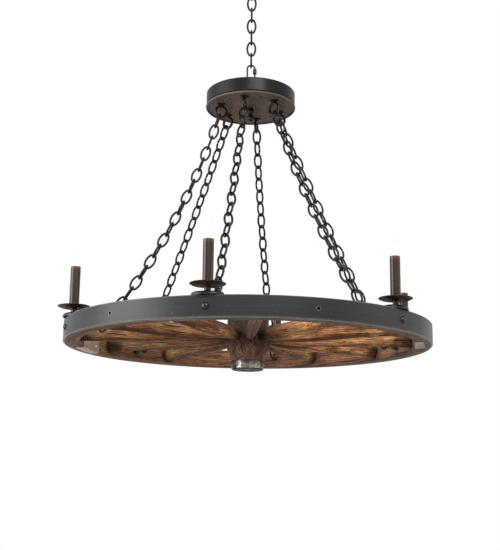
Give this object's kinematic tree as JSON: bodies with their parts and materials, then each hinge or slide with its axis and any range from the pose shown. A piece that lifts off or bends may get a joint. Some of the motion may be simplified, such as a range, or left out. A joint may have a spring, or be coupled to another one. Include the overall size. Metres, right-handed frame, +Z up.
{
  "type": "wagon wheel chandelier",
  "caption": "Wooden wagon wheel with an iron tyre, hung by chains from a round pan and a ceiling chain, with candle lamps with removable sleeves on its rim.",
  "frame": {"origin": "on the ceiling, in the middle of the crossbar's upper face, above the middle of the wheel", "axes": "+Z up; +X along the crossbar; -Y towards the front, where the view of the picture comes from"},
  "size_m": [1.0159, 1.0444, 1.1883],
  "materials": {
    "bright_steel": "zinc plated",
    "bronze_metal": "dark bronze, satin",
    "pan_metal": "dark grey-brown, satin",
    "chain_metal": "blackened, waxed",
    "tyre_iron": "charcoal, satin",
    "rim_wood": "weathered, oiled",
    "spoke_wood": "warm brown, worn",
    "hub_wood": "dark brown, worn",
    "clip_metal": "dull tan-grey",
    "band_iron": "worn bright",
    "sleeve_metal": "dark bronze, satin",
    "socket_plastic": "black",
    "bulb_glass": "clear, lit",
    "bulb_cap": "bright"
  },
  "bodies": {
    "ceiling": {"crossbar": "bright_steel", "hanger_nipple": "bright_steel", "canopy_loop": "bronze_metal"},
    "collar": {"collar_ring": "bronze_metal"},
    "canopy": {"canopy": "pan_metal"},
    "top_link": {"top_link": "chain_metal"},
    "chain": {"suspension_links": "chain_metal"},
    "quick_link": {"quick_link": "chain_metal"},
    "quick_link_nut": {"quick_link_nut": "chain_metal"},
    "fixture": {"pan_loop": "bronze_metal", "pan_shell": "pan_metal", "pan_plate": "pan_metal", "stiffening_ring": "bright_steel", "plate_screws": "bronze_metal", "centre_rod": "bright_steel", "rod_nut": "bright_steel", "ring_bolts": "bronze_metal", "ring_nuts": "bright_steel", "tyre": "tyre_iron", "felloe_left": "rim_wood", "felloe_right": "rim_wood", "felloe_clips": "clip_metal", "clip_screws": "bright_steel", "spokes": "spoke_wood", "hub": "hub_wood", "hub_bands": "band_iron", "hub_bolt": "bright_steel", "hub_nut": "bright_steel", "through_bolts": "bronze_metal", "eye_nuts": "bronze_metal", "base_plates": "bronze_metal", "candle_nipples": "bright_steel", "stem_spacers": "bronze_metal", "bobeches": "bronze_metal", "sockets": "socket_plastic", "chain_1": "chain_metal", "chain_2": "chain_metal", "chain_3": "chain_metal", "chain_4": "chain_metal", "chain_5": "chain_metal", "chain_6": "chain_metal"},
    "finial": {"finial": "bronze_metal"},
    "sleeve_1": {"sleeve_1": "sleeve_metal"},
    "bulb_1": {"bulb_glass_1": "bulb_glass", "bulb_base_1": "bulb_cap"},
    "sleeve_2": {"sleeve_2": "sleeve_metal"},
    "bulb_2": {"bulb_glass_2": "bulb_glass", "bulb_base_2": "bulb_cap"},
    "sleeve_3": {"sleeve_3": "sleeve_metal"},
    "bulb_3": {"bulb_glass_3": "bulb_glass", "bulb_base_3": "bulb_cap"},
    "sleeve_4": {"sleeve_4": "sleeve_metal"},
    "bulb_4": {"bulb_glass_4": "bulb_glass", "bulb_base_4": "bulb_cap"},
    "sleeve_5": {"sleeve_5": "sleeve_metal"},
    "bulb_5": {"bulb_glass_5": "bulb_glass", "bulb_base_5": "bulb_cap"},
    "sleeve_6": {"sleeve_6": "sleeve_metal"},
    "bulb_6": {"bulb_glass_6": "bulb_glass", "bulb_base_6": "bulb_cap"}
  },
  "joints": [
    {"name": "collar_lowering", "type": "slide", "parent": "ceiling", "child": "collar", "axis": [0, 0, -1], "range_m": [0, 0.024]},
    {"name": "canopy_turn", "type": "hinge", "parent": "collar", "child": "canopy", "pos_m": [0, 0, 0], "axis": [0, 0, 1], "continuous": true},
    {"name": "top_link_swing", "type": "hinge", "parent": "ceiling", "child": "top_link", "pos_m": [0, 0, -0.071], "axis": [0, 1, 0], "range_deg": [-20, 20]},
    {"name": "chain_swing", "type": "hinge", "parent": "top_link", "child": "chain", "pos_m": [0, 0, -0.1073], "axis": [1, 0, 0], "range_deg": [-20, 20]},
    {"name": "quick_link_swing", "type": "hinge", "parent": "chain", "child": "quick_link", "pos_m": [0, 0, -0.2888], "axis": [0, 1, 0], "range_deg": [-15, 15]},
    {"name": "quick_link_nut_travel", "type": "slide", "parent": "quick_link", "child": "quick_link_nut", "axis": [0, 0, -1], "range_m": [0, 0.01]},
    {"name": "fixture_swing", "type": "hinge", "parent": "quick_link", "child": "fixture", "pos_m": [0, 0, -0.334], "axis": [1, 0, 0], "range_deg": [-15, 15]},
    {"name": "finial_unscrewing", "type": "slide", "parent": "fixture", "child": "finial", "axis": [0, 0, -1], "range_m": [0, 0.02]},
    {"name": "sleeve_1_lift", "type": "slide", "parent": "fixture", "child": "sleeve_1", "axis": [0, 0, 1], "range_m": [0, 0.17]},
    {"name": "sleeve_2_lift", "type": "slide", "parent": "fixture", "child": "sleeve_2", "axis": [0, 0, 1], "range_m": [0, 0.17]},
    {"name": "sleeve_3_lift", "type": "slide", "parent": "fixture", "child": "sleeve_3", "axis": [0, 0, 1], "range_m": [0, 0.17]},
    {"name": "sleeve_4_lift", "type": "slide", "parent": "fixture", "child": "sleeve_4", "axis": [0, 0, 1], "range_m": [0, 0.17]},
    {"name": "sleeve_5_lift", "type": "slide", "parent": "fixture", "child": "sleeve_5", "axis": [0, 0, 1], "range_m": [0, 0.17]},
    {"name": "sleeve_6_lift", "type": "slide", "parent": "fixture", "child": "sleeve_6", "axis": [0, 0, 1], "range_m": [0, 0.17]},
    {"name": "bulb_1_removal", "type": "slide", "parent": "fixture", "child": "bulb_1", "axis": [0, 0, 1], "range_m": [0, 0.035]},
    {"name": "bulb_2_removal", "type": "slide", "parent": "fixture", "child": "bulb_2", "axis": [0, 0, 1], "range_m": [0, 0.035]},
    {"name": "bulb_3_removal", "type": "slide", "parent": "fixture", "child": "bulb_3", "axis": [0, 0, 1], "range_m": [0, 0.035]},
    {"name": "bulb_4_removal", "type": "slide", "parent": "fixture", "child": "bulb_4", "axis": [0, 0, 1], "range_m": [0, 0.035]},
    {"name": "bulb_5_removal", "type": "slide", "parent": "fixture", "child": "bulb_5", "axis": [0, 0, 1], "range_m": [0, 0.035]},
    {"name": "bulb_6_removal", "type": "slide", "parent": "fixture", "child": "bulb_6", "axis": [0, 0, 1], "range_m": [0, 0.035]}
  ]
}
